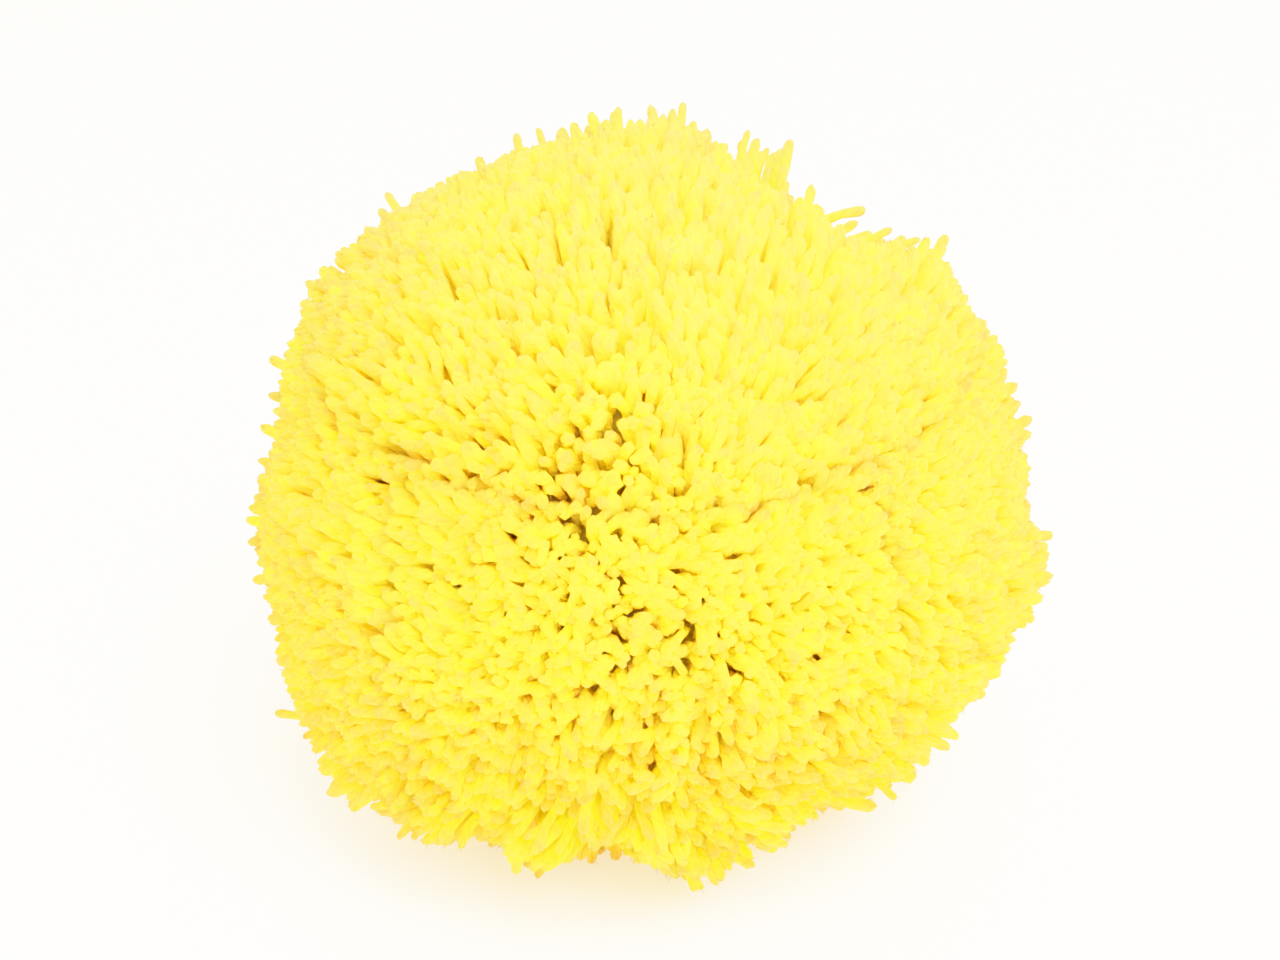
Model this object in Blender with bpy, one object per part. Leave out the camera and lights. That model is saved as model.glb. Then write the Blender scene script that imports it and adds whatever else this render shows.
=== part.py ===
"""A yarn pom pom resting on a flat spot: locks of cut yarn that fan out from a tied middle.

Metres, +Z up. The pom pom stands on the plane z = 0 over the origin, and the side towards -Y is its
front. It is modelled on a unit ball first: every face of the tied middle grows one lock, ring by ring,
to a radius of 1. Then each point is carried out to the trimmed outline of the real pom pom in its own
direction from the tie. Locks that would pass the surface below end level on it.
"""

import math
import random
from collections import namedtuple

import bmesh
import bpy
from mathutils import Vector

# The trimmed ball is an ellipsoid. The tie lies low in it and towards the front, because the lower
# yarns are pressed flat under the ball's own weight.
BALL_HALF_WIDTH = 0.0485
BALL_HALF_DEPTH = 0.0470
BALL_HALF_HEIGHT = 0.0473
BALL_HALVES = (BALL_HALF_WIDTH, BALL_HALF_DEPTH, BALL_HALF_HEIGHT)
BALL_CENTRE = Vector((0.0006, -0.0006, 0.0403))
TIE = Vector((0.0006, -0.0076, 0.0300))

# Where the ball is fuller or hollower than the ellipsoid, seen from the tie: azimuth from +X towards
# +Y, elevation from level, the angle over which it fades, all in degrees, and the share of the reach.
Lobe = namedtuple("Lobe", "azimuth elevation spread gain")
LOBES = (
    Lobe(azimuth=42, elevation=57, spread=14, gain=-0.24),  # notch between crown and shoulder
    Lobe(azimuth=18, elevation=30, spread=20, gain=-0.045),  # shoulder
    Lobe(azimuth=150, elevation=48, spread=20, gain=-0.03),  # the other shoulder
    Lobe(azimuth=95, elevation=68, spread=12, gain=0.025),  # crown
    Lobe(azimuth=262, elevation=52, spread=14, gain=0.02),  # swelling under the crown
    Lobe(azimuth=236, elevation=27, spread=10, gain=-0.07),  # furrow on the front
    Lobe(azimuth=296, elevation=30, spread=9, gain=-0.05),  # furrow on the front
    Lobe(azimuth=275, elevation=2, spread=16, gain=0.03),  # swelling above the foot
    Lobe(azimuth=355, elevation=8, spread=9, gain=0.03),  # step at the side
    Lobe(azimuth=213, elevation=-17, spread=20, gain=0.075),  # long tufts that lie on the surface
    Lobe(azimuth=272, elevation=-38, spread=28, gain=0.03),  # front foot
    Lobe(azimuth=312, elevation=-36, spread=14, gain=-0.05),  # gap beside the front foot
    Lobe(azimuth=60, elevation=12, spread=18, gain=0.04),  # swelling at the back
    Lobe(azimuth=105, elevation=30, spread=10, gain=-0.06),  # furrow at the back
    Lobe(azimuth=140, elevation=5, spread=16, gain=0.03),  # swelling at the back
)

# The locks. A ring is a lock's section at a share of its length, as a share of the width it may take.
LOCK_CORNERS = 270  # the points that the tied middle's faces, one for each lock, lie between
LOCK_WOBBLE = 0.28  # how far such a point strays from even spacing, in spacings
LOCK_SEED = 11
MOST_LOCKS = 300
SHORTEST_LOCK = 0.93
LONGEST_LOCK = 1.04
LONG_LOCK = 1.05  # a few untrimmed locks
LONG_LOCK_ODDS = 0.04
TIP_LEAN = 0.20  # how far a tip strays from its lock's axis, as a share of the lock's width
TIP_SLOPE = 0.03  # how unevenly a tip is cut, as a share of its length
Ring = namedtuple("Ring", "length width")
ROOT = Ring(length=0.33, width=0.60)  # on the tied middle
FREE_RINGS = (
    Ring(length=0.80, width=0.92),
    Ring(length=0.93, width=0.74),
    Ring(length=1.0, width=0.30),
)
PRESSED_RINGS = (
    Ring(length=0.80, width=0.88),
    Ring(length=0.95, width=0.90),
    Ring(length=1.0, width=0.72),
)

# Yarn at the sides hangs by this much at the ball's widest, and less towards the surface and the tie.
DROOP = 0.0022

YARN_COLOUR = (0.95, 0.76, 0.04, 1.0)
YARN_ROUGHNESS = 0.9
YARN_SHEEN = 0.4
SHARP_EDGE = math.radians(50)


def direction(azimuth, elevation):
    """The unit vector at an azimuth and elevation in degrees."""
    level = math.cos(math.radians(elevation))
    azimuth = math.radians(azimuth)
    return Vector((level * math.cos(azimuth), level * math.sin(azimuth), math.sin(math.radians(elevation))))


LOBE_AXES = [direction(lobe.azimuth, lobe.elevation) for lobe in LOBES]


def fullness(way):
    """How full the ball is in a direction from the tie, as a share of its ellipsoid's reach."""
    full = 1.0
    for lobe, axis in zip(LOBES, LOBE_AXES):
        away = math.degrees(way.angle(axis)) / lobe.spread
        full += lobe.gain * math.exp(-away * away)
    return full


def ball_reach(way):
    """The distance from the tie to the ball's ellipsoid in a direction."""
    start = Vector([(t - c) / h for t, c, h in zip(TIE, BALL_CENTRE, BALL_HALVES)])
    step = Vector([w / h for w, h in zip(way, BALL_HALVES)])
    along = step.dot(start)
    return (-along + math.sqrt(along * along - step.dot(step) * (start.dot(start) - 1))) / step.dot(step)


def surface_reach(way):
    """The distance from the tie to the surface below in a direction."""
    return TIE.z / -way.z if way.z < 0 else math.inf


def lock_reach(way, length):
    """How far a lock of this length goes in a direction before it is trimmed or meets the surface."""
    return min(ball_reach(way) * fullness(way) * length, surface_reach(way))


def droop(place):
    """A point of the straight yarn, let down by the yarn's own weight. The surface stays where it is."""
    aside = math.hypot(place.x - TIE.x, place.y - TIE.y) / BALL_HALF_WIDTH
    lift = min(place.z / TIE.z, 1.0)
    return place - Vector((0.0, 0.0, DROOP * aside * aside * lift))


def scattered_ways():
    """Unit vectors from the tie to points spread evenly over the ball, each moved a little."""
    rng = random.Random(LOCK_SEED)
    golden = math.pi * (3 - math.sqrt(5))
    spacing = math.sqrt(4 * math.pi / LOCK_CORNERS)
    ways = []
    for index in range(LOCK_CORNERS):
        height = 2 * (index + 0.5) / LOCK_CORNERS - 1
        level = math.sqrt(1 - height * height)
        around = golden * index
        spot = Vector((level * math.cos(around), level * math.sin(around), height))
        spot += Vector([rng.uniform(-1, 1) for _ in range(3)]) * LOCK_WOBBLE * spacing
        spot.normalize()
        on_ball = BALL_CENTRE + Vector([s * h for s, h in zip(spot, BALL_HALVES)])
        ways.append((on_ball - TIE).normalized())
    return ways


def tied_middle(bm):
    """The unit ball's tied middle, in faces of three and four sides, one for each lock."""
    for way in scattered_ways():
        bm.verts.new(way * ROOT.length)
    bmesh.ops.convex_hull(bm, input=bm.verts[:])
    bmesh.ops.join_triangles(
        bm,
        faces=bm.faces[:],
        angle_face_threshold=math.pi,
        angle_shape_threshold=math.radians(75),
    )
    bmesh.ops.recalc_face_normals(bm, faces=bm.faces[:])
    if len(bm.faces) > MOST_LOCKS:
        raise ValueError(f"{len(bm.faces)} locks are more than {MOST_LOCKS}")


def set_ring(face, axis, old_width, ring, lean):
    """Moves a lock's newest face out to a ring: its section there, about the lock's axis."""
    for vert in face.verts:
        aside = (vert.co.normalized() - axis) * ring.width / old_width
        vert.co = (axis + aside + lean).normalized() * ring.length


def grow_lock(bm, face, length_layer, rng):
    """Grows one lock from a face of the tied middle, ring by ring."""
    axis = face.calc_center_median().normalized()
    size = math.sqrt(face.calc_area()) / ROOT.length
    length = rng.uniform(SHORTEST_LOCK, LONGEST_LOCK)
    if rng.random() < LONG_LOCK_ODDS:
        length = LONG_LOCK
    lean = Vector([rng.uniform(-1, 1) for _ in range(3)]) * TIP_LEAN * size
    lean -= axis * lean.dot(axis)
    pressed = lock_reach(axis, length) == surface_reach(axis)

    width = 1.0
    for ring in (ROOT,) + (PRESSED_RINGS if pressed else FREE_RINGS):
        face = bmesh.ops.extrude_discrete_faces(bm, faces=[face])["faces"][0]
        free_tip = ring.length == 1.0 and not pressed
        set_ring(face, axis, width, ring, lean if free_tip else Vector())
        width = ring.width
        for vert in face.verts:
            vert[length_layer] = length * (1 - rng.uniform(0, TIP_SLOPE) * free_tip)


def fill_out(bm, length_layer):
    """Carries each point of the unit ball out to its place in the pom pom."""
    for vert in bm.verts:
        share = vert.co.length
        way = vert.co.normalized()
        vert.co = droop(TIE + way * share * lock_reach(way, vert[length_layer]))


def yarn_material():
    """Lemon-yellow yarn, dull and soft."""
    material = bpy.data.materials.new("yellow_yarn")
    material.use_nodes = True
    shader = material.node_tree.nodes["Principled BSDF"]
    shader.inputs["Base Color"].default_value = YARN_COLOUR
    shader.inputs["Roughness"].default_value = YARN_ROUGHNESS
    shader.inputs["Metallic"].default_value = 0.0
    shader.inputs["Sheen Weight"].default_value = YARN_SHEEN
    return material


def make_pom_pom():
    """The whole pom pom, as one closed solid."""
    bm = bmesh.new()
    length_layer = bm.verts.layers.float.new("length")
    tied_middle(bm)
    for vert in bm.verts:
        vert[length_layer] = 1.0
    rng = random.Random(LOCK_SEED)
    for face in bm.faces[:]:
        grow_lock(bm, face, length_layer, rng)
    fill_out(bm, length_layer)
    bmesh.ops.triangulate(bm, faces=bm.faces[:], quad_method="SHORT_EDGE")
    bmesh.ops.recalc_face_normals(bm, faces=bm.faces[:])

    mesh = bpy.data.meshes.new("pom_pom")
    bm.to_mesh(mesh)
    bm.free()
    mesh.shade_smooth()
    mesh.set_sharp_from_angle(angle=SHARP_EDGE)
    mesh.materials.append(yarn_material())
    pom_pom = bpy.data.objects.new("pom_pom", mesh)
    bpy.context.scene.collection.objects.link(pom_pom)
    return pom_pom


def main():
    for old in list(bpy.data.objects):
        bpy.data.objects.remove(old)
    make_pom_pom()


main()
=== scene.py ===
"""The looks of a yarn pom pom: thousands of cut yarns round a tied middle, on a white table.

Every yarn is a soft tube that leaves the dense middle, bends to its own way and ends in a bloomed tip on
the trimmed outline of the ball. Fine fibres stand off the yarns, and a few yarns that the scissors missed
stand out of the outline. Yarns that would pass the table lie along it. All sizes are in metres.
"""

import math
from collections import namedtuple

import bpy
import numpy as np
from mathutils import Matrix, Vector
from mathutils.kdtree import KDTree


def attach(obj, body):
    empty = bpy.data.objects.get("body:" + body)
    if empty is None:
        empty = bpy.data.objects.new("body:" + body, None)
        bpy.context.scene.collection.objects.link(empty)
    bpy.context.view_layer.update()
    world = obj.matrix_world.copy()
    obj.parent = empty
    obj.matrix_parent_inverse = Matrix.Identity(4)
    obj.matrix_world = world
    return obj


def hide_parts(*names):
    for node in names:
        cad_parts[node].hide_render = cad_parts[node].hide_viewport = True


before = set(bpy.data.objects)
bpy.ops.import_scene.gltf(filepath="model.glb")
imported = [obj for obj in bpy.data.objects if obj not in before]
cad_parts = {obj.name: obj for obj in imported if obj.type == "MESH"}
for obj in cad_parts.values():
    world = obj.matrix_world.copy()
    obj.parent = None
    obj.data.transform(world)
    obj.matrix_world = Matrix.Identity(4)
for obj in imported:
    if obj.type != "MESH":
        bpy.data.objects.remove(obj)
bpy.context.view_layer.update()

bl_info = {
    "name": "Yarn pom pom",
    "version": (1, 0, 0),
    "blender": (4, 5, 0),
    "location": "3D View > Sidebar > Pom pom",
    "description": "Models a pom pom of cut yarn, yarn by yarn",
    "category": "Object",
}

NODE = "pom_pom"
MM = 0.001

# The trimmed ball and the place of its tie, as in the solid.
BALL_CENTRE = np.array((0.0006, -0.0006, 0.0403))
BALL_HALVES = np.array((0.0485, 0.0470, 0.0473))
TIE = np.array((0.0006, -0.0076, 0.0300))

# The yarns fan out as if from a point a little below the tie, because the table holds the lowest ones.
SPRING = np.array((0.0006, -0.0105, 0.0265))

Lobe = namedtuple("Lobe", "azimuth elevation spread gain")
LOBES = (
    Lobe(azimuth=42, elevation=57, spread=14, gain=-0.24),  # notch between crown and shoulder
    Lobe(azimuth=18, elevation=30, spread=20, gain=-0.045),  # shoulder
    Lobe(azimuth=150, elevation=48, spread=20, gain=-0.03),  # the other shoulder
    Lobe(azimuth=95, elevation=68, spread=12, gain=0.025),  # crown
    Lobe(azimuth=262, elevation=52, spread=14, gain=0.02),  # swelling under the crown
    Lobe(azimuth=236, elevation=27, spread=10, gain=-0.07),  # furrow on the front
    Lobe(azimuth=296, elevation=30, spread=9, gain=-0.05),  # furrow on the front
    Lobe(azimuth=275, elevation=2, spread=16, gain=0.03),  # swelling above the foot
    Lobe(azimuth=355, elevation=8, spread=9, gain=0.03),  # step at the side
    Lobe(azimuth=213, elevation=-17, spread=20, gain=0.075),  # long tufts that lie on the table
    Lobe(azimuth=272, elevation=-38, spread=28, gain=0.03),  # front foot
    Lobe(azimuth=312, elevation=-36, spread=14, gain=-0.05),  # gap beside the front foot
    Lobe(azimuth=60, elevation=12, spread=18, gain=0.04),  # swelling at the back
    Lobe(azimuth=105, elevation=30, spread=10, gain=-0.06),  # furrow at the back
    Lobe(azimuth=140, elevation=5, spread=16, gain=0.03),  # swelling at the back
)

# Where the scissors cut closer or less close than the solid shows.
TRIM_LOBES = (
    Lobe(azimuth=8, elevation=38, spread=14, gain=0.03),
    Lobe(azimuth=352, elevation=8, spread=8, gain=0.02),
    Lobe(azimuth=3, elevation=17, spread=6, gain=-0.015),
    Lobe(azimuth=14, elevation=31, spread=8, gain=-0.07),
    Lobe(azimuth=10, elevation=56, spread=8, gain=0.025),
    Lobe(azimuth=24, elevation=65, spread=7, gain=-0.125),
    Lobe(azimuth=52, elevation=72, spread=8, gain=0.025),
    Lobe(azimuth=77, elevation=60, spread=8, gain=-0.08),
    Lobe(azimuth=108, elevation=68, spread=8, gain=-0.04),
    Lobe(azimuth=128, elevation=58, spread=7, gain=-0.03),
    Lobe(azimuth=146, elevation=49, spread=9, gain=0.03),
    Lobe(azimuth=162, elevation=43, spread=8, gain=0.035),
    Lobe(azimuth=173, elevation=24, spread=12, gain=-0.045),
    Lobe(azimuth=182, elevation=8, spread=5, gain=0.02),
    Lobe(azimuth=183, elevation=-2, spread=8, gain=-0.05),
    Lobe(azimuth=262, elevation=-46, spread=16, gain=-0.10),
    Lobe(azimuth=316, elevation=-39, spread=9, gain=-0.06),
    Lobe(azimuth=332, elevation=-42, spread=12, gain=-0.07),
    Lobe(azimuth=50, elevation=49, spread=9, gain=-0.14),
    Lobe(azimuth=327, elevation=-37, spread=10, gain=-0.04),
)

# A yarn's rings, root to tip: the share of the way along its line, how far past the line's end in tip
# radii, how thick between its body (0) and its bloomed tip (1), and a share of that thickness.
YarnRing = namedtuple("YarnRing", "along past bloom share")
YARN_RINGS = (
    YarnRing(along=0.0, past=0.0, bloom=0.0, share=1.15),
    YarnRing(along=0.42, past=0.0, bloom=0.0, share=1.05),
    YarnRing(along=0.75, past=0.0, bloom=0.3, share=0.98),
    YarnRing(along=1.0, past=0.0, bloom=1.0, share=1.0),
    YarnRing(along=1.0, past=0.85, bloom=1.0, share=0.66),
)
RING_ALONG = np.array([ring.along for ring in YARN_RINGS])[None, :, None]
RING_PAST = np.array([ring.past for ring in YARN_RINGS])[None, :, None]
RING_BLOOM = np.array([ring.bloom for ring in YARN_RINGS])
RING_SHARE = np.array([ring.share for ring in YARN_RINGS])
NECK_RING = 2
TIP_RING = 3
POLE_PAST = 1.3  # the very end of a yarn, past its line's end, in tip radii
YARN_SIDES = 5
ROOT_REACH = 0.76  # a yarn is modelled from this share of its length, inside the dense middle
MIDDLE_REACH = 0.875  # within this share of the ball the yarns fill all the space
MIDDLE_DETAIL = 6
CELLS_PER_METRE = 780.0  # packed yarns over a metre of the dense middle
FRONT_CROWDING = 0.12  # how far the yarns draw together at the front
FOOT_THINNING = 0.45  # the share of the yarns that is left out at the foot
BETWEEN_SHARE = 0.42  # the share of the yarns that end short and stand straight, between the others
BETWEEN_TRIES = 3  # places looked at for each of them
BETWEEN_DEPTH = 0.92  # the share of the ball's reach at which the gaps between the others are measured

# Places on the front where the yarn stands otherwise, by azimuth and elevation in degrees.
FRONT = 270
BACK = 90
FRONT_MIDDLE = 8
FRONT_CROWD = 30
LOWER_FRONT = -28
THIN_FOOT = -36
FOOT = -38

# How unevenly the ball is cut, as shares of its reach: lock by lock, in long swells and in short creases,
# each deeper at the lower front. A few yarns are left longer.
LOCK_UNEVEN = 0.009
LOCK_UNEVEN_LOW = 0.014
LOCK_UNEVEN_FOOT = 0.02
SWELL = 0.012
CREASE = 0.012
CREASE_LOW = 0.032
SHORTEST_BETWEEN = 0.035
SHORTEST_BETWEEN_LOW = 0.10
LONG_YARN = 0.035
LONG_YARN_ODDS = 0.03

# How a yarn runs: bent up over the table at the foot, hanging a little elsewhere, straight for these
# shares of its free length at either end, and kinked on the way.
FOOT_RISE = 0.8
HANG = 0.10
STRAIGHT_ROOT = 0.45
STRAIGHT_TIP = 0.42
KINK = 0.22 * MM

# How far single yarns differ from the mean thickness in their body and their tip, how far they are from
# round, and how high their ends lie over the table, in tip radii.
BODY_RANGE = (0.88, 1.12)
TIP_RANGE = (0.78, 1.18)
RING_RANGE = (0.90, 1.10)
YARN_UNROUND = 0.11
LYING_RANGE = (1.02, 1.9)
STRAY_THICKNESS = 1.08
STRAY_TONE = 0.8

MIDDLE_HOLLOW = 0.06  # how much lower the dense middle lies at the lower front
# The dense middle's share of the lit yarn colour; the rest is the painted shade tint.
MIDDLE_SHADE_TONE = 0.3
MIDDLE_CLEARANCE = 1.0 * MM
TIP_FIBRE_ODDS = 0.55  # the share of the loose fibres that splay from cut ends
UPPER_FROM = 0.12

# Light passes through soft wool, so its shading turns this far from the tube's side to the ball's. The
# yarn's colour is painted paler between these two heights over the table: painted light for the stronger
# light on top.
SOFT_SHARE = 0.4
TOP_LIGHT_FROM = 64 * MM
TOP_LIGHT_AT = 86 * MM

# The yarns are joined into six pieces by where they stand on the ball.
CROWN_FROM = math.radians(42)
FOOT_BELOW = math.radians(-30)
SIDE_SECTIONS = ("yarns_right", "yarns_back", "yarns_left", "yarns_front")
FIBRE_PIECES = ("loose_fibres_upper", "loose_fibres_lower")
FIBRE_SIDES = 3

# Yarns that stand out of the outline, by the pixels of the photo that their tips and roots lie over.
Stray = namedtuple("Stray", "tip_x tip_y root_x root_y")
STRAYS = (
    Stray(516, 132, 528, 200),  # along the crown
    Stray(538, 126, 548, 200),
    Stray(562, 129, 570, 200),
    Stray(588, 125, 592, 195),
    Stray(598, 130, 601, 195),
    Stray(614, 110, 617, 190),
    Stray(640, 120, 643, 190),
    Stray(652, 105, 652, 185),
    Stray(663, 114, 662, 185),
    Stray(673, 108, 669, 190),
    Stray(683, 101, 676, 190),
    Stray(694, 120, 684, 190),
    Stray(707, 130, 690, 195),
    Stray(749, 128, 732, 205),
    Stray(768, 146, 750, 215),
    Stray(791, 140, 770, 220),
    Stray(742, 140, 735, 215),  # on the crown's side of the notch
    Stray(757, 138, 742, 215),
    Stray(762, 150, 748, 220),
    Stray(775, 152, 756, 225),
    Stray(781, 150, 762, 225),
    Stray(770, 165, 750, 235),
    Stray(785, 165, 764, 235),
    Stray(788, 180, 768, 240),
    Stray(792, 195, 772, 245),
    Stray(797, 212, 776, 252),
    Stray(858, 222, 800, 255),  # on the shoulder's side
    Stray(872, 232, 815, 262),
    Stray(885, 240, 830, 270),
    Stray(905, 238, 850, 275),
    Stray(912, 250, 858, 285),
    Stray(928, 246, 872, 284),
    Stray(941, 262, 885, 295),
    Stray(946, 275, 890, 305),
    Stray(865, 208, 790, 240),
    Stray(893, 228, 836, 258),
    Stray(920, 237, 862, 276),
    Stray(935, 252, 880, 285),
    Stray(385, 191, 420, 245),  # down the left
    Stray(378, 208, 415, 255),
    Stray(306, 282, 355, 315),
    Stray(268, 395, 320, 405),
    Stray(254, 497, 310, 503),
    Stray(248, 541, 310, 543),
    Stray(286, 655, 350, 660),
    Stray(274, 713, 350, 716),
    Stray(290, 688, 350, 690),
    Stray(345, 772, 400, 740),  # on the table
    Stray(371, 801, 420, 752),
    Stray(446, 845, 472, 790),
    Stray(490, 850, 508, 790),
    Stray(600, 863, 604, 800),
    Stray(700, 868, 690, 800),
    Stray(742, 850, 722, 790),
    Stray(862, 795, 818, 748),
    Stray(892, 780, 848, 735),
    Stray(1053, 536, 990, 530),  # at the right
    Stray(1050, 555, 990, 552),
    Stray(1030, 434, 975, 445),
)
STRAY_DEPTH = 8 * MM  # how far before or behind the ball's middle they may stand
PHOTO_WIDTH = 1280
PHOTO_HEIGHT = 960
SENSOR_WIDTH = 36.0


class PomPomSizes(bpy.types.PropertyGroup):
    """Sizes and colours of the yarn and of the way it stands."""

    yarn_count: bpy.props.IntProperty(
        name="Yarns", description="How many cut ends the ball has", default=16500, min=100
    )
    yarn_thickness: bpy.props.FloatProperty(
        name="Yarn thickness", description="Diameter of a yarn's body", default=1.14 * MM, unit="LENGTH"
    )
    tip_thickness: bpy.props.FloatProperty(
        name="Tip thickness",
        description="Diameter of a yarn's bloomed, cut end",
        default=1.30 * MM,
        unit="LENGTH",
    )
    lock_count: bpy.props.IntProperty(
        name="Locks", description="How many locks the yarns cling into", default=480, min=8
    )
    lock_cling: bpy.props.FloatProperty(
        name="Cling", description="How far a lock's tips draw together", default=0.16, subtype="FACTOR"
    )
    trim_roughness: bpy.props.FloatProperty(
        name="Uneven trim",
        description="How unevenly the ends are cut, as a share of their reach",
        default=0.028,
        subtype="FACTOR",
    )
    lean: bpy.props.FloatProperty(
        name="Lean",
        description="How far a yarn's end bends off its straight way",
        default=0.50,
        subtype="FACTOR",
    )
    root_shift: bpy.props.FloatProperty(
        name="Root shift",
        description="How far a leaning yarn's root lies to the other side",
        default=1.6 * MM,
        unit="LENGTH",
    )
    fibre_count: bpy.props.IntProperty(
        name="Loose fibres", description="How many fine fibres stand off the yarns", default=40000
    )
    fibre_length: bpy.props.FloatProperty(
        name="Fibre length", description="Length of a loose fibre", default=1.4 * MM, unit="LENGTH"
    )
    fibre_thickness: bpy.props.FloatProperty(
        name="Fibre thickness",
        description="Thickness of a loose fibre at its root",
        default=0.12 * MM,
        unit="LENGTH",
    )
    yarn_colour: bpy.props.FloatVectorProperty(
        name="Yarn colour",
        description="Colour of the yarn's tips",
        default=(0.985, 0.385, 0.030, 1.0),
        size=4,
        subtype="COLOR",
    )
    # Painted light: the yarn on top is coloured paler for the stronger light that falls there.
    crown_colour: bpy.props.FloatVectorProperty(
        name="Crown colour",
        description="Colour of the paler yarn on top",
        default=(0.985, 0.44, 0.054, 1.0),
        size=4,
        subtype="COLOR",
        min=0,
        max=1,
    )
    # Painted shade: a tint for the shade deep in the ball, mixed in towards the yarns' roots and on the
    # dense middle.
    deep_colour: bpy.props.FloatVectorProperty(
        name="Deep colour",
        description="Colour of the yarn down in the ball",
        default=(0.95, 0.78, 0.010, 1.0),
        size=4,
        subtype="COLOR",
    )


class StageSizes(bpy.types.PropertyGroup):
    """The table, the light and the camera."""

    table_side: bpy.props.FloatProperty(
        name="Table side", description="Side of the square table", default=8.0, unit="LENGTH"
    )
    table_glow: bpy.props.FloatProperty(
        name="Table glow", description="Light that the white table gives off by itself", default=0.35
    )
    camera_elevation: bpy.props.FloatProperty(
        name="Camera elevation",
        description="How far the camera looks down",
        default=math.radians(28),
        subtype="ANGLE",
    )
    camera_distance: bpy.props.FloatProperty(
        name="Camera distance", description="From the camera to its target", default=0.245, unit="LENGTH"
    )
    camera_lens: bpy.props.FloatProperty(
        name="Lens", description="Focal length in millimetres", default=55.0
    )
    camera_target: bpy.props.FloatVectorProperty(
        name="Target",
        description="The point in the middle of the view",
        default=(0.3 * MM, -0.6 * MM, 42.6 * MM),
        size=3,
        subtype="TRANSLATION",
    )
    sky_strength: bpy.props.FloatProperty(
        name="Sky", description="Strength of the even light", default=0.78
    )
    key_power: bpy.props.FloatProperty(
        name="Key light", description="Power of the key light", default=4.3, unit="POWER"
    )
    exposure: bpy.props.FloatProperty(
        name="Exposure", description="How fast bright light turns white", default=3.6
    )


def sizes():
    return bpy.context.scene.pom_pom


def stage_sizes():
    return bpy.context.scene.pom_pom_stage


def unit(vectors):
    """Each row of an array as a unit vector."""
    return vectors / np.maximum(np.linalg.norm(vectors, axis=-1, keepdims=True), 1e-12)


def across(vectors, ways):
    """The part of each vector that lies across its way."""
    return vectors - (vectors * ways).sum(-1, keepdims=True) * ways


def bearing(azimuth, elevation):
    """The unit vector at an azimuth and elevation in degrees."""
    azimuth, elevation = np.radians((azimuth, elevation))
    level = np.cos(elevation)
    return np.array((level * np.cos(azimuth), level * np.sin(azimuth), np.sin(elevation)))


def fullness(ways):
    """How full the ball is in each direction from the tie, as a share of its ellipsoid's reach."""
    full = np.ones(len(ways))
    for lobe in LOBES + TRIM_LOBES:
        away = np.degrees(np.arccos(np.clip(ways @ bearing(lobe.azimuth, lobe.elevation), -1, 1)))
        full += lobe.gain * np.exp(-((away / lobe.spread) ** 2))
    return full


def ball_reach(ways):
    """The distance from the tie to the ball's ellipsoid in each direction."""
    start = (TIE - BALL_CENTRE) / BALL_HALVES
    step = ways / BALL_HALVES
    square = (step * step).sum(1)
    along = step @ start
    return (-along + np.sqrt(along**2 - square * (start @ start - 1))) / square


def even_ways(count, wobble, rng):
    """Unit vectors from the tie to points spread evenly over the ball, each moved a little."""
    index = np.arange(count)
    height = 2 * (index + 0.5) / count - 1
    level = np.sqrt(1 - height**2)
    around = index * math.pi * (3 - math.sqrt(5))
    spots = np.stack((level * np.cos(around), level * np.sin(around), height), 1)
    spots += rng.uniform(-1, 1, spots.shape) * wobble * math.sqrt(4 * math.pi / count)
    return unit(BALL_CENTRE + unit(spots) * BALL_HALVES - TIE)


def rolling(ways, waves, seed):
    """A smooth uneven field over directions, about -1 to 1, with this many waves to a radian."""
    rng = np.random.default_rng(seed)
    parts = 9
    turns = unit(rng.normal(size=(parts, 3))) * waves * rng.uniform(0.6, 1.4, (parts, 1))
    phases = rng.uniform(0, 2 * math.pi, parts)
    return np.cos(ways @ turns.T + phases).sum(1) / math.sqrt(parts) / 1.1


def above_table(points, clearance):
    """Points let down onto the table: those that would pass it lie along it instead."""
    soft = 0.7 * MM
    clear = 20
    lift = (points[..., 2] - clearance) / soft
    lift = np.where(lift > clear, lift, np.log1p(np.exp(np.minimum(lift, clear))))
    points = points.copy()
    points[..., 2] = clearance + lift * soft
    return points


Yarns = namedtuple("Yarns", "lines radii ways tone")


def curve(start, bend_one, bend_two, end):
    """The centres of the rings along each yarn's bent line."""
    rest = 1 - RING_ALONG
    return (
        start[:, None] * rest**3
        + bend_one[:, None] * 3 * RING_ALONG * rest**2
        + bend_two[:, None] * 3 * RING_ALONG**2 * rest
        + end[:, None] * RING_ALONG**3
    )


def thicken(lines, ways, slim, tone, rng):
    """Yarns along these lines, with bloomed tips, laid over the table."""
    s = sizes()
    count = len(lines)
    body = s.yarn_thickness / 2 * slim * rng.uniform(*BODY_RANGE, count)
    tip = body * s.tip_thickness / s.yarn_thickness * rng.uniform(*TIP_RANGE, count)
    radii = (body[:, None] * (1 - RING_BLOOM) + tip[:, None] * RING_BLOOM) * RING_SHARE
    radii *= rng.uniform(*RING_RANGE, radii.shape)
    end_way = unit(lines[:, TIP_RING] - lines[:, NECK_RING])
    lines = lines + end_way[:, None] * tip[:, None, None] * RING_PAST
    clearance = tip * rng.uniform(*LYING_RANGE, count)
    return Yarns(above_table(lines, clearance[:, None]), radii, ways, tone)


def facing(ways, elevation):
    """How squarely ways face the front at an elevation in degrees, from 0 to 1."""
    return np.clip(ways @ bearing(FRONT, elevation), 0, 1) ** 2


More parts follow.
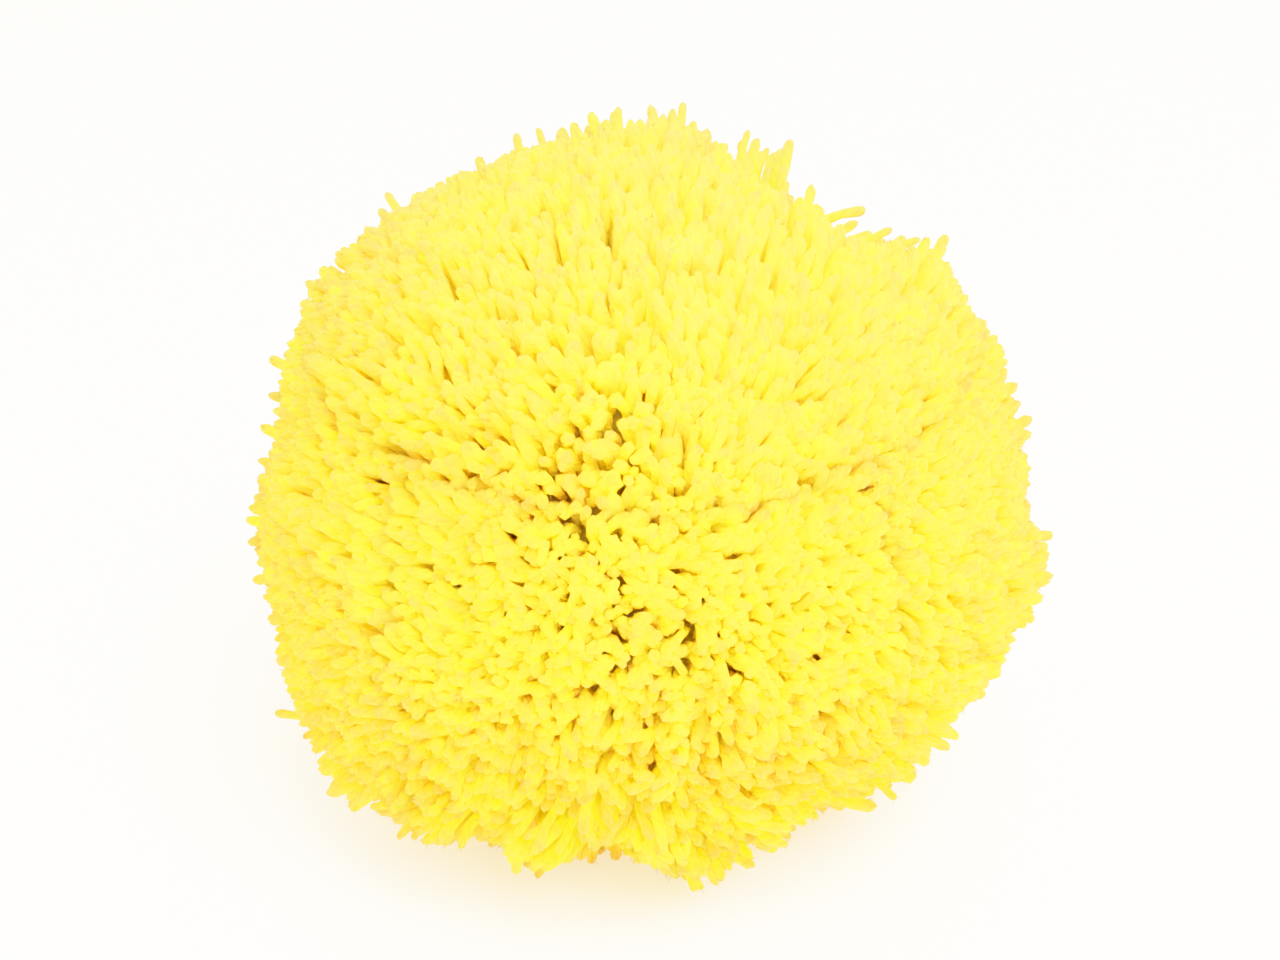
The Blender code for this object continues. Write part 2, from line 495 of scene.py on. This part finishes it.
def stand(ways, cut, lean, rng):
    """The lines of yarns that end on the trimmed outline, each with its own lean."""
    s = sizes()
    reach = ball_reach(ways) * fullness(ways) * cut - s.tip_thickness / 2 * POLE_PAST
    tips = TIE + ways * reach[:, None]
    out = unit(tips - SPRING)
    lean = across(lean, out)
    lean[:, 2] += FOOT_RISE * facing(ways, FOOT) - HANG
    roots = SPRING + (tips - SPRING) * ROOT_REACH - lean * s.root_shift
    tip_way = unit(out + across(lean, out))
    free = np.linalg.norm(tips - roots, axis=1)[:, None]
    bend_one = roots + out * free * STRAIGHT_ROOT
    bend_two = tips - tip_way * free * STRAIGHT_TIP
    lines = curve(roots, bend_one, bend_two, tips)
    kink = across(rng.normal(0, 1, ways.shape), out)[:, None] * KINK
    turns = rng.uniform(4, 9, (len(ways), 1, 1))
    return lines + kink * np.sin(RING_ALONG * turns + rng.uniform(0, 6, turns.shape)) * RING_ALONG


def crowded_ways(count, rng):
    """About this many ways over the ball, closest together at its front and sparse at its foot."""
    ways = unit(even_ways(int(count * 1.07), 0.62, rng) + FRONT_CROWDING * bearing(FRONT, FRONT_CROWD))
    return ways[rng.random(len(ways)) > FOOT_THINNING * facing(ways, THIN_FOOT)]


def drift(ways):
    """The slow sweep of the yarns' ends over the ball."""
    return np.stack([rolling(ways, waves=6, seed=31 + axis) for axis in range(3)], 1)


def lay_locks(count, rng):
    """The yarns that cling into locks and reach the outline, and the way that each stands."""
    s = sizes()
    ways = crowded_ways(count, rng)
    count = len(ways)
    foot = 1 / (1 + np.exp((ways[:, 2] + 0.25) * 12))
    front, low = facing(ways, FRONT_MIDDLE), facing(ways, LOWER_FRONT)

    lock_ways = even_ways(s.lock_count, 0.5, rng)
    lock = (ways @ lock_ways.T).argmax(1)
    uneven = LOCK_UNEVEN + LOCK_UNEVEN_LOW * low + LOCK_UNEVEN_FOOT * foot
    lock_cut = rng.normal(0, 1, s.lock_count)[lock] * uneven
    lock_lean = across(rng.normal(0, 1, (s.lock_count, 3)), lock_ways)[lock]
    lock_cling = rng.uniform(0, 2, s.lock_count)[lock] * s.lock_cling
    lock_cling = lock_cling * (0.5 + 0.6 * np.maximum(front, low))

    clung = unit(ways + (lock_ways[lock] - ways) * lock_cling[:, None])
    cut = 1 + lock_cut + SWELL * rolling(ways, waves=7, seed=21)
    cut = cut + (CREASE + CREASE_LOW * low) * rolling(ways, waves=24, seed=22)
    cut -= np.abs(rng.normal(0, s.trim_roughness, count)) * (0.35 + 1.9 * low)
    cut += LONG_YARN * (rng.random(count) < LONG_YARN_ODDS)
    with_lock = (0.2 + 0.4 * front)[:, None]
    alone = (0.3 + 0.5 * front)[:, None]
    lean = with_lock * lock_lean
    lean += alone * rng.normal(0, 1, ways.shape)
    lean = (lean + 0.7 * drift(ways)) * (s.lean * (0.8 + 0.8 * front))[:, None]
    return ways, stand(clung, cut, lean, rng)


def lay_between(count, others, rng):
    """Shorter yarns that stand straighter where the others leave the widest gaps."""
    taken = others[:, NECK_RING - 1 : NECK_RING + 1].reshape(-1, 3)
    tree = KDTree(len(taken))
    for index, place in enumerate(taken):
        tree.insert(place, index)
    tree.balance()
    ways = crowded_ways(count * BETWEEN_TRIES, rng)
    reach = ball_reach(ways) * fullness(ways)
    places = TIE + ways * (reach * BETWEEN_DEPTH)[:, None]
    gaps = np.array([tree.find(place)[2] for place in places]) / reach
    gaps *= 1 + 0.4 * facing(ways, FRONT_MIDDLE) - 0.7 * facing(ways, FOOT)
    ways = ways[np.argsort(-gaps)[:count]]
    low = facing(ways, LOWER_FRONT)
    cut = 1 - rng.uniform(0.005, SHORTEST_BETWEEN + SHORTEST_BETWEEN_LOW * low)
    lean = rng.normal(0, 0.22, ways.shape) + 0.25 * drift(ways)
    return ways, stand(ways, cut, lean, rng)


def lay_yarns():
    """The line, thickness and tone of every yarn."""
    s = sizes()
    rng = np.random.default_rng(5)
    between = int(s.yarn_count * BETWEEN_SHARE)
    ways, lines = lay_locks(s.yarn_count - between, rng)
    more_ways, more_lines = lay_between(between, lines, rng)
    ways = np.concatenate((ways, more_ways))
    lines = np.concatenate((lines, more_lines))
    # Each yarn's own tone differs at random; towards its root yarn_mesh mixes painted shade into it.
    tone = 0.75 + 0.16 * rng.normal(size=len(ways)) + 0.12 * rolling(ways, waves=9, seed=77)
    tone = np.clip(tone, 0, 1)
    slim = 1.04 - 0.09 * facing(ways, FRONT_MIDDLE) + 0.08 * np.clip(ways @ bearing(BACK, 0), 0, 1)
    return thicken(lines, ways, slim, tone, rng)


def camera_axes():
    """The camera's place, and its unit vectors to the right, upwards and ahead."""
    s = stage_sizes()
    low, level = math.sin(s.camera_elevation), math.cos(s.camera_elevation)
    ahead = np.array((0.0, level, -low))
    up = np.array((0.0, low, level))
    return np.array(s.camera_target) - ahead * s.camera_distance, np.array((1.0, 0.0, 0.0)), up, ahead


def photo_points(pixels, depths):
    """The points over pixels of the photo, this far behind the plane through the ball's middle."""
    eye, right, up, ahead = camera_axes()
    focal = stage_sizes().camera_lens / SENSOR_WIDTH * PHOTO_WIDTH
    rays = (
        ahead
        + (pixels[:, :1] - PHOTO_WIDTH / 2) / focal * right
        + (PHOTO_HEIGHT / 2 - pixels[:, 1:]) / focal * up
    )
    return eye + rays * ((BALL_CENTRE - eye) @ ahead + depths)[:, None]


def lay_strays():
    """The yarns that the scissors missed."""
    rng = np.random.default_rng(8)
    depths = rng.uniform(-STRAY_DEPTH, STRAY_DEPTH, len(STRAYS))
    tips = photo_points(np.array([(stray.tip_x, stray.tip_y) for stray in STRAYS], float), depths)
    roots = photo_points(np.array([(stray.root_x, stray.root_y) for stray in STRAYS], float), depths)
    tips -= unit(tips - roots) * sizes().tip_thickness / 2 * POLE_PAST
    ways = unit(tips - TIE)
    free = np.linalg.norm(tips - roots, axis=1)[:, None]
    out = unit(tips - roots)
    bend = across(rng.normal(0, 0.18, out.shape), out)
    lines = curve(roots, roots + unit(out + bend) * free / 3, tips - unit(out - bend) * free / 3, tips)
    slim = np.full(len(tips), STRAY_THICKNESS)
    tone = np.full(len(tips), STRAY_TONE)
    return thicken(lines, ways, slim, tone, rng)


def rod_frames(path, rng):
    """Two unit vectors across each path at each of its points but the last."""
    tangent = unit(np.gradient(path, axis=1))[:, :-1]
    whole = unit(path[:, -1] - path[:, 0])
    side = unit(across(rng.normal(size=whole.shape), whole))[:, None]
    first = unit(across(np.broadcast_to(side, tangent.shape), tangent))
    return first, np.cross(tangent, first)


def rod_faces(sides, rings):
    """The corners of one closed rod's faces, how many each face has, and each corner's turn and ring."""
    around = np.arange(sides)
    after = (around + 1) % sides
    corners, counts, turn, ring_of = [], [], [], []
    for ring in range(rings - 1):
        low, high = ring * sides, (ring + 1) * sides
        corners.append(np.stack((low + around, low + after, high + after, high + around), 1).ravel())
        turn.append(np.stack((around, around + 1, around + 1, around), 1).ravel())
        ring_of.append(np.tile((ring, ring, ring + 1, ring + 1), sides))
        counts.append(np.full(sides, 4))
    last = (rings - 1) * sides
    corners.append(np.stack((last + around, last + after, np.full(sides, rings * sides)), 1).ravel())
    turn.append(np.stack((around, around + 1, around + 0.5), 1).ravel())
    ring_of.append(np.tile((rings - 1, rings - 1, rings), sides))
    counts.append(np.full(sides, 3))
    corners.append(around[::-1])
    turn.append(around[::-1])
    ring_of.append(np.zeros(sides, int))
    counts.append([sides])
    return tuple(np.concatenate(part) for part in (corners, counts, turn, ring_of))


def rods(name, lines, radii, ends, tone, sides, rng, rough=0.0):
    """One mesh of closed rods. Its UV map has turns round the rod and millimetres along it."""
    count, rings = radii.shape
    path = np.concatenate((lines, ends[:, None]), axis=1)
    first, second = rod_frames(path, rng)
    turns = np.arange(sides) * 2 * math.pi / sides
    round_rod = np.cos(turns)[:, None] * first[:, :, None] + np.sin(turns)[:, None] * second[:, :, None]
    width = radii[:, :, None, None] * (1 + rng.uniform(-rough, rough, (count, rings, sides, 1)))
    points = (lines[:, :, None] + width * round_rod).reshape(count, -1, 3)
    points = np.concatenate((points, ends[:, None]), axis=1)
    points[..., 2] = np.maximum(points[..., 2], 0)
    each = rings * sides + 1

    corners, counts, turn, ring_of = rod_faces(sides, rings)
    loops = (corners + np.arange(count)[:, None] * each).ravel()
    starts = np.concatenate(([0], np.cumsum(np.tile(counts, count))[:-1]))
    mesh = bpy.data.meshes.new(name)
    mesh.vertices.add(count * each)
    mesh.vertices.foreach_set("co", points.astype(np.float32).ravel())
    mesh.loops.add(len(loops))
    mesh.loops.foreach_set("vertex_index", loops.astype(np.int32))
    mesh.polygons.add(len(starts))
    mesh.polygons.foreach_set("loop_start", starts.astype(np.int32))

    run = np.cumsum(np.linalg.norm(np.diff(path, axis=1, prepend=path[:, :1]), axis=2), axis=1) / MM
    uv = np.empty((count, len(corners), 2), np.float32)
    uv[..., 0] = turn / sides
    uv[..., 1] = run[:, ring_of]
    mesh.uv_layers.new(name="yarn_run").uv.foreach_set("vector", uv.ravel())
    ring_tone = np.concatenate((np.repeat(tone, sides, axis=1), tone[:, -1:]), axis=1)
    mesh.attributes.new("tone", "FLOAT", "POINT").data.foreach_set(
        "value", ring_tone.astype(np.float32).ravel()
    )
    mesh.update(calc_edges=True)
    mesh.shade_smooth()
    return mesh


def yarn_mesh(name, yarns, rng):
    """One mesh of these yarns, lighter towards their tips: towards their roots, deep in the ball, they turn
    to the painted shade tint.
    """
    tip_way = unit(yarns.lines[:, -1] - yarns.lines[:, TIP_RING])
    ends = yarns.lines[:, TIP_RING] + tip_way * (yarns.radii[:, TIP_RING] * POLE_PAST)[:, None]
    ends[:, 2] = np.maximum(ends[:, 2], yarns.lines[:, -1, 2])
    # Painted shade: towards its root a yarn's colour turns to the painted shade tint.
    depth = np.clip((RING_ALONG[..., 0] - 0.2) / 0.8, 0, 1) ** 1.5
    tone = yarns.tone[:, None] * depth
    return rods(name, yarns.lines, yarns.radii, ends, tone, YARN_SIDES, rng, rough=YARN_UNROUND)


def lay_fibres(yarns, count, rng):
    """Fine fibres that stand off the yarns' sides and splay from their cut ends."""
    s = sizes()
    yarn = rng.integers(0, len(yarns.lines), count)
    at_tip = rng.random(count) < TIP_FIBRE_ODDS
    near_tip = rng.random(count) < 0.6
    ring = np.where(at_tip | near_tip, NECK_RING, NECK_RING - 1)
    share = np.where(at_tip, 1.0, rng.random(count))[:, None]
    low, high = yarns.lines[yarn, ring], yarns.lines[yarn, ring + 1]
    tangent = unit(high - low)
    radius = yarns.radii[yarn, ring] * (1 - share[:, 0]) + yarns.radii[yarn, ring + 1] * share[:, 0]
    side = unit(across(rng.normal(size=(count, 3)), tangent))
    inset = np.where(at_tip, np.sqrt(rng.random(count)) * 0.9, 0.9)
    start = low + (high - low) * share + side * (radius * inset)[:, None]
    start += tangent * (radius * np.where(at_tip, 0.45, 0))[:, None]
    rise = np.where(at_tip, rng.uniform(0.6, 1.4, count), rng.uniform(0.1, 1.1, count))[:, None]
    way = unit(tangent * rise + side * 0.8 + rng.normal(0, 0.35, (count, 3)))
    length = s.fibre_length * rng.uniform(0.45, 1.5, count) * np.where(at_tip, 0.65, 1.0)
    end = above_table(start + way * length[:, None], s.fibre_thickness)
    lines = above_table(start[:, None], s.fibre_thickness)
    radii = s.fibre_thickness / 2 * rng.uniform(0.7, 1.2, (count, 1))
    return lines, radii, end, yarns.tone[yarn][:, None]


def dense_middle():
    """The lumpy middle, where the yarns stand so close that they fill all the space."""
    bpy.ops.mesh.primitive_ico_sphere_add(subdivisions=MIDDLE_DETAIL, radius=1)
    middle = bpy.context.object
    middle.name = "tied_middle"
    mesh = middle.data
    mesh.name = "tied_middle"
    points = np.empty(len(mesh.vertices) * 3)
    mesh.vertices.foreach_get("co", points)
    ways = unit(points.reshape(-1, 3))
    share = MIDDLE_REACH - MIDDLE_HOLLOW * facing(ways, LOWER_FRONT)
    reach = ball_reach(ways) * fullness(ways) * share
    reach *= 1 + 0.02 * rolling(ways, waves=40, seed=3) + 0.012 * rolling(ways, waves=75, seed=4)
    points = above_table(TIE + ways * reach[:, None], MIDDLE_CLEARANCE)
    mesh.vertices.foreach_set("co", points.ravel())
    tone = np.full(len(ways), MIDDLE_SHADE_TONE, np.float32)
    mesh.attributes.new("tone", "FLOAT", "POINT").data.foreach_set("value", tone)
    mesh.shade_smooth()
    return middle


def wire(tree, kind, **inputs):
    """Adds a node to a tree. An input is a value, or the socket that feeds it."""
    node = tree.nodes.new(kind)
    for key, value in inputs.items():
        socket = node.inputs[int(key[1:]) if key[1:].isdigit() else key.replace("_", " ")]
        if isinstance(value, bpy.types.NodeSocket):
            tree.links.new(value, socket)
        else:
            socket.default_value = value
    return node


def math_node(tree, operation, *values):
    """The result of a sum on sockets or numbers."""
    node = wire(tree, "ShaderNodeMath", **{f"_{index}": value for index, value in enumerate(values)})
    node.operation = operation
    return node.outputs["Value"]


def wool_colour_and_painted_light_group():
    """Puts out the colour of wool with painted light and shade: a painted shade tint deep in the ball, the
    lit tips' colour, and a paler painted light on the crown.
    """
    s = sizes()
    group = bpy.data.node_groups.new("wool_colour_and_painted_light", "ShaderNodeTree")
    group.interface.new_socket("Colour", in_out="OUTPUT", socket_type="NodeSocketColor")
    tone = group.nodes.new("ShaderNodeAttribute")
    tone.attribute_name = "tone"
    place = wire(group, "ShaderNodeSeparateXYZ", _0=wire(group, "ShaderNodeTexCoord").outputs["Object"])
    height = wire(group, "ShaderNodeMapRange", Value=place.outputs["Z"], _1=TOP_LIGHT_FROM, _2=TOP_LIGHT_AT)
    # Painted light: the yarn's colour turns paler towards the top of the ball.
    lit = colour_mix(group, height.outputs["Result"], s.yarn_colour, s.crown_colour)
    # Painted shade: low tone values turn the colour to the painted shade tint.
    colour = colour_mix(group, tone.outputs["Fac"], s.deep_colour, lit)
    ends = group.nodes.new("NodeGroupOutput")
    group.links.new(colour, ends.inputs["Colour"])
    return group


def colour_mix(tree, share, colour_a, colour_b):
    """A mix of two colours, each a value or a socket."""
    mix = tree.nodes.new("ShaderNodeMix")
    mix.data_type = "RGBA"
    tree.links.new(share, mix.inputs[0])
    for socket, colour in ((mix.inputs[6], colour_a), (mix.inputs[7], colour_b)):
        if isinstance(colour, bpy.types.NodeSocket):
            tree.links.new(colour, socket)
        else:
            socket.default_value = colour
    return mix.outputs[2]


def vector_node(tree, operation, *values):
    """The result of a sum on vector sockets or vectors."""
    node = wire(tree, "ShaderNodeVectorMath", **{f"_{index}": value for index, value in enumerate(values)})
    node.operation = operation
    return node.outputs["Vector"]


def soft_side_group():
    """Puts out a normal between the yarn's own side and the ball's, as light passes through wool."""
    group = bpy.data.node_groups.new("soft_side", "ShaderNodeTree")
    group.interface.new_socket("Normal", in_out="OUTPUT", socket_type="NodeSocketVector")
    place = wire(group, "ShaderNodeTexCoord").outputs["Object"]
    own = wire(group, "ShaderNodeNewGeometry").outputs["Normal"]
    out = vector_node(group, "SUBTRACT", place, tuple(BALL_CENTRE))
    out = vector_node(group, "NORMALIZE", vector_node(group, "DIVIDE", out, tuple(BALL_HALVES**2 * 1000)))
    own = vector_node(group, "SCALE", own)
    own.node.inputs["Scale"].default_value = 1 - SOFT_SHARE
    out = vector_node(group, "SCALE", out)
    out.node.inputs["Scale"].default_value = SOFT_SHARE
    soft = vector_node(group, "NORMALIZE", vector_node(group, "ADD", own, out))
    ends = group.nodes.new("NodeGroupOutput")
    group.links.new(soft, ends.inputs["Normal"])
    return group


def wool_material(name):
    """Dull wool that shines softly at its edges."""
    material = bpy.data.materials.new(name)
    material.use_nodes = True
    tree = material.node_tree
    shader = tree.nodes["Principled BSDF"]
    for group, socket in ((wool_colour_and_painted_light_group, "Base Color"), (soft_side_group, "Normal")):
        node = tree.nodes.new("ShaderNodeGroup")
        node.node_tree = bpy.data.node_groups.get(group.__name__.removesuffix("_group")) or group()
        tree.links.new(node.outputs[0], shader.inputs[socket])
    shader.inputs["Roughness"].default_value = 0.92
    shader.inputs["Specular IOR Level"].default_value = 0.12
    shader.subsurface_method = "BURLEY"
    shader.inputs["Subsurface Weight"].default_value = 1.0
    shader.inputs["Subsurface Radius"].default_value = (1.0, 0.9, 0.35)
    shader.inputs["Subsurface Scale"].default_value = 4.2 * MM
    shader.inputs["Sheen Weight"].default_value = 0.40
    shader.inputs["Sheen Roughness"].default_value = 0.6
    shader.inputs["Sheen Tint"].default_value = (1.0, 0.90, 0.30, 1.0)
    return material


def spin(tree):
    """Lays plied strands and fine fibres over the yarn as a raised surface, with painted shade in its
    grooves.
    """
    shader = tree.nodes["Principled BSDF"]
    place = wire(tree, "ShaderNodeSeparateXYZ", _0=wire(tree, "ShaderNodeUVMap").outputs["UV"])
    turn = math_node(tree, "MULTIPLY", place.outputs["X"], 2 * math.pi)
    run = place.outputs["Y"]
    plies = 3
    twist_length = 5.0
    fibre_pitch = 0.6
    fibre_share = 1.2
    angle = math_node(tree, "MULTIPLY_ADD", run, 2 * math.pi / twist_length, turn)
    ply = math_node(tree, "ABSOLUTE", math_node(tree, "SINE", math_node(tree, "MULTIPLY", angle, plies / 2)))
    place = wire(
        tree,
        "ShaderNodeCombineXYZ",
        X=math_node(tree, "COSINE", angle),
        Y=math_node(tree, "SINE", angle),
        Z=math_node(tree, "MULTIPLY", run, fibre_pitch),
    )
    fibre = wire(tree, "ShaderNodeTexNoise", Vector=place.outputs["Vector"], Scale=4.0, Detail=3.0)
    height = math_node(tree, "MULTIPLY_ADD", fibre.outputs["Fac"], fibre_share, ply)
    smooth = shader.inputs["Normal"].links[0].from_socket
    bump = wire(tree, "ShaderNodeBump", Strength=0.8, Distance=0.14 * MM, Height=height, Normal=smooth)
    tree.links.new(bump.outputs["Normal"], shader.inputs["Normal"])
    # Painted shade: the colour darkens in the grooves and low spots of the raised surface.
    darken(tree, wire(tree, "ShaderNodeMapRange", Value=height, _1=0.45, _2=1.35, _3=0.80, _4=1.0))


def pack(tree):
    """Draws the close-packed yarns of the middle, each a rounded cell with painted shade at its rim."""
    shader = tree.nodes["Principled BSDF"]
    place = wire(tree, "ShaderNodeTexCoord").outputs["Object"]
    cells = wire(tree, "ShaderNodeTexVoronoi", Vector=place, Scale=CELLS_PER_METRE)
    depth = cells.outputs["Distance"]
    bump = wire(tree, "ShaderNodeBump", Strength=1.0, Distance=0.7 * MM, Height=depth)
    bump.invert = True
    tree.links.new(bump.outputs["Normal"], shader.inputs["Normal"])
    # Painted shade: the colour darkens towards each cell's rim, between the packed yarns.
    darken(tree, wire(tree, "ShaderNodeMapRange", Value=depth, _1=0.2, _2=0.7, _3=1.0, _4=0.7))


def darken(tree, amount):
    """Multiplies the wool's colour by what a node puts out, as painted shade."""
    shader = tree.nodes["Principled BSDF"]
    plain = shader.inputs["Base Color"].links[0].from_socket
    shade = wire(tree, "ShaderNodeVectorMath", _0=plain)
    shade.operation = "SCALE"
    tree.links.new(amount.outputs["Result"], shade.inputs["Scale"])
    tree.links.new(shade.outputs["Vector"], shader.inputs["Base Color"])


def dress(piece, material):
    """Gives a finished piece its material and its place in the frame."""
    piece.data.materials.append(material)
    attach(piece, "root")
    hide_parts(NODE)


def add_piece(name, mesh, material):
    """Makes a finished piece of the pom pom from its mesh."""
    piece = bpy.data.objects.new(name, mesh)
    bpy.context.scene.collection.objects.link(piece)
    dress(piece, material)


def wool(name):
    """The material of this name, made when it is first asked for."""
    if name not in bpy.data.materials:
        material = wool_material(name)
        if name == "cut_yarn":
            spin(material.node_tree)
        if name == "packed_yarn":
            pack(material.node_tree)
    return bpy.data.materials[name]


def section_names(ways):
    """The name of the section that each yarn stands in."""
    elevation = np.arcsin(np.clip(ways[:, 2], -1, 1))
    quarter = np.floor((np.arctan2(ways[:, 1], ways[:, 0]) + math.pi / 4) % (2 * math.pi) / (math.pi / 2))
    names = np.array(SIDE_SECTIONS, dtype=object)[np.minimum(quarter.astype(int), 3)]
    names[elevation > CROWN_FROM] = "yarns_crown"
    names[elevation < FOOT_BELOW] = "yarns_foot"
    return names


class POMPOM_OT_middle(bpy.types.Operator):
    """Fill the tied middle of the ball"""

    bl_idname = "pompom.middle"
    bl_label = "Tied middle"

    def execute(self, context):
        dress(dense_middle(), wool("packed_yarn"))
        return {"FINISHED"}


class POMPOM_OT_yarns(bpy.types.Operator):
    """Lay every cut yarn of the ball and join them into six pieces"""

    bl_idname = "pompom.yarns"
    bl_label = "Cut yarns"

    def execute(self, context):
        yarns = lay_yarns()
        names = section_names(yarns.ways)
        rng = np.random.default_rng(2)
        for name in sorted(set(names)):
            section = Yarns(*(part[names == name] for part in yarns))
            add_piece(name, yarn_mesh(name, section, rng), wool("cut_yarn"))
        return {"FINISHED"}


class POMPOM_OT_strays(bpy.types.Operator):
    """Add the yarns that the scissors missed"""

    bl_idname = "pompom.strays"
    bl_label = "Untrimmed yarns"

    def execute(self, context):
        mesh = yarn_mesh("untrimmed_yarns", lay_strays(), np.random.default_rng(3))
        add_piece("untrimmed_yarns", mesh, wool("cut_yarn"))
        return {"FINISHED"}


class POMPOM_OT_fibres(bpy.types.Operator):
    """Add the fine fibres that stand off the yarns"""

    bl_idname = "pompom.fibres"
    bl_label = "Loose fibres"

    def execute(self, context):
        rng = np.random.default_rng(4)
        yarns = lay_yarns()
        upper = yarns.ways[:, 2] > UPPER_FROM
        for name, inside in zip(FIBRE_PIECES, (upper, ~upper)):
            section = Yarns(*(part[inside] for part in yarns))
            count = int(sizes().fibre_count * inside.mean())
            fibres = lay_fibres(section, count, rng)
            add_piece(name, rods(name, *fibres, FIBRE_SIDES, rng), wool("plain_wool"))
        return {"FINISHED"}


class POMPOM_OT_stage(bpy.types.Operator):
    """Set the white table, the soft light and the camera"""

    bl_idname = "pompom.stage"
    bl_label = "Stage"

    def execute(self, context):
        s = stage_sizes()
        bpy.ops.mesh.primitive_plane_add(size=s.table_side, location=(0, 0, 0))
        table = context.object
        table.name = "table"
        material = bpy.data.materials.new("white_table")
        material.use_nodes = True
        shader = material.node_tree.nodes["Principled BSDF"]
        shader.inputs["Base Color"].default_value = (0.96, 0.93, 0.90, 1.0)
        shader.inputs["Roughness"].default_value = 0.35
        shader.inputs["Emission Color"].default_value = (1.0, 0.72, 0.38, 1.0)
        shader.inputs["Emission Strength"].default_value = s.table_glow
        table.data.materials.append(material)

        world = bpy.data.worlds.new("even_light")
        world.use_nodes = True
        sky = world.node_tree.nodes["Background"]
        sky.inputs["Color"].default_value = (1.0, 0.99, 0.86, 1.0)
        sky.inputs["Strength"].default_value = s.sky_strength
        context.scene.world = world

        target = Vector(s.camera_target)
        above_right = Vector((0.25, -0.45, 0.75))
        bpy.ops.object.light_add(type="AREA", location=target + above_right)
        key = context.object
        key.name = "key_light"
        key.data.size = 0.6
        key.data.energy = s.key_power
        key.data.color = (0.97, 1.0, 1.12)
        key.rotation_euler = (target - key.location).to_track_quat("-Z", "Y").to_euler()

        eye, _, _, ahead = camera_axes()
        bpy.ops.object.camera_add(location=eye)
        camera = context.object
        camera.rotation_euler = Vector(ahead).to_track_quat("-Z", "Y").to_euler()
        camera.data.lens = s.camera_lens
        camera.data.sensor_width = SENSOR_WIDTH
        camera.data.clip_start = 0.01
        context.scene.camera = camera
        expose(context.scene.view_settings, s.exposure)
        return {"FINISHED"}


def expose(view, speed):
    """A bright exposure whose lights roll off softly, as on film."""
    film_white = 2.0
    film_lights = (0.05, 0.12, 0.25, 0.42, 0.68)
    view.view_transform = "Standard"
    view.use_curve_mapping = True
    mapping = view.curve_mapping
    mapping.white_level = (film_white,) * 3
    roll_off = mapping.curves[3]
    for light in film_lights:
        roll_off.points.new(light, 1 - math.exp(-speed * light * film_white))
    roll_off.points[-1].location = (1.0, 1 - math.exp(-speed * film_white))
    mapping.update()


class POMPOM_PT_panel(bpy.types.Panel):
    """Sizes and steps of the pom pom"""

    bl_idname = "POMPOM_PT_panel"
    bl_label = "Yarn pom pom"
    bl_space_type = "VIEW_3D"
    bl_region_type = "UI"
    bl_category = "Pom pom"

    def draw(self, context):
        for group in (context.scene.pom_pom, context.scene.pom_pom_stage):
            for name in group.__annotations__:
                self.layout.prop(group, name)
        for step in STEPS:
            self.layout.operator(step.bl_idname)


STEPS = (POMPOM_OT_stage, POMPOM_OT_middle, POMPOM_OT_yarns, POMPOM_OT_strays, POMPOM_OT_fibres)
CLASSES = (PomPomSizes, StageSizes) + STEPS + (POMPOM_PT_panel,)


def register():
    for cls in CLASSES:
        bpy.utils.register_class(cls)
    bpy.types.Scene.pom_pom = bpy.props.PointerProperty(type=PomPomSizes)
    bpy.types.Scene.pom_pom_stage = bpy.props.PointerProperty(type=StageSizes)


def unregister():
    del bpy.types.Scene.pom_pom_stage
    del bpy.types.Scene.pom_pom
    for cls in reversed(CLASSES):
        bpy.utils.unregister_class(cls)


def main():
    register()
    bpy.ops.pompom.stage()
    bpy.ops.pompom.middle()
    bpy.ops.pompom.yarns()
    bpy.ops.pompom.strays()
    bpy.ops.pompom.fibres()


if __name__ == "__main__":
    main()
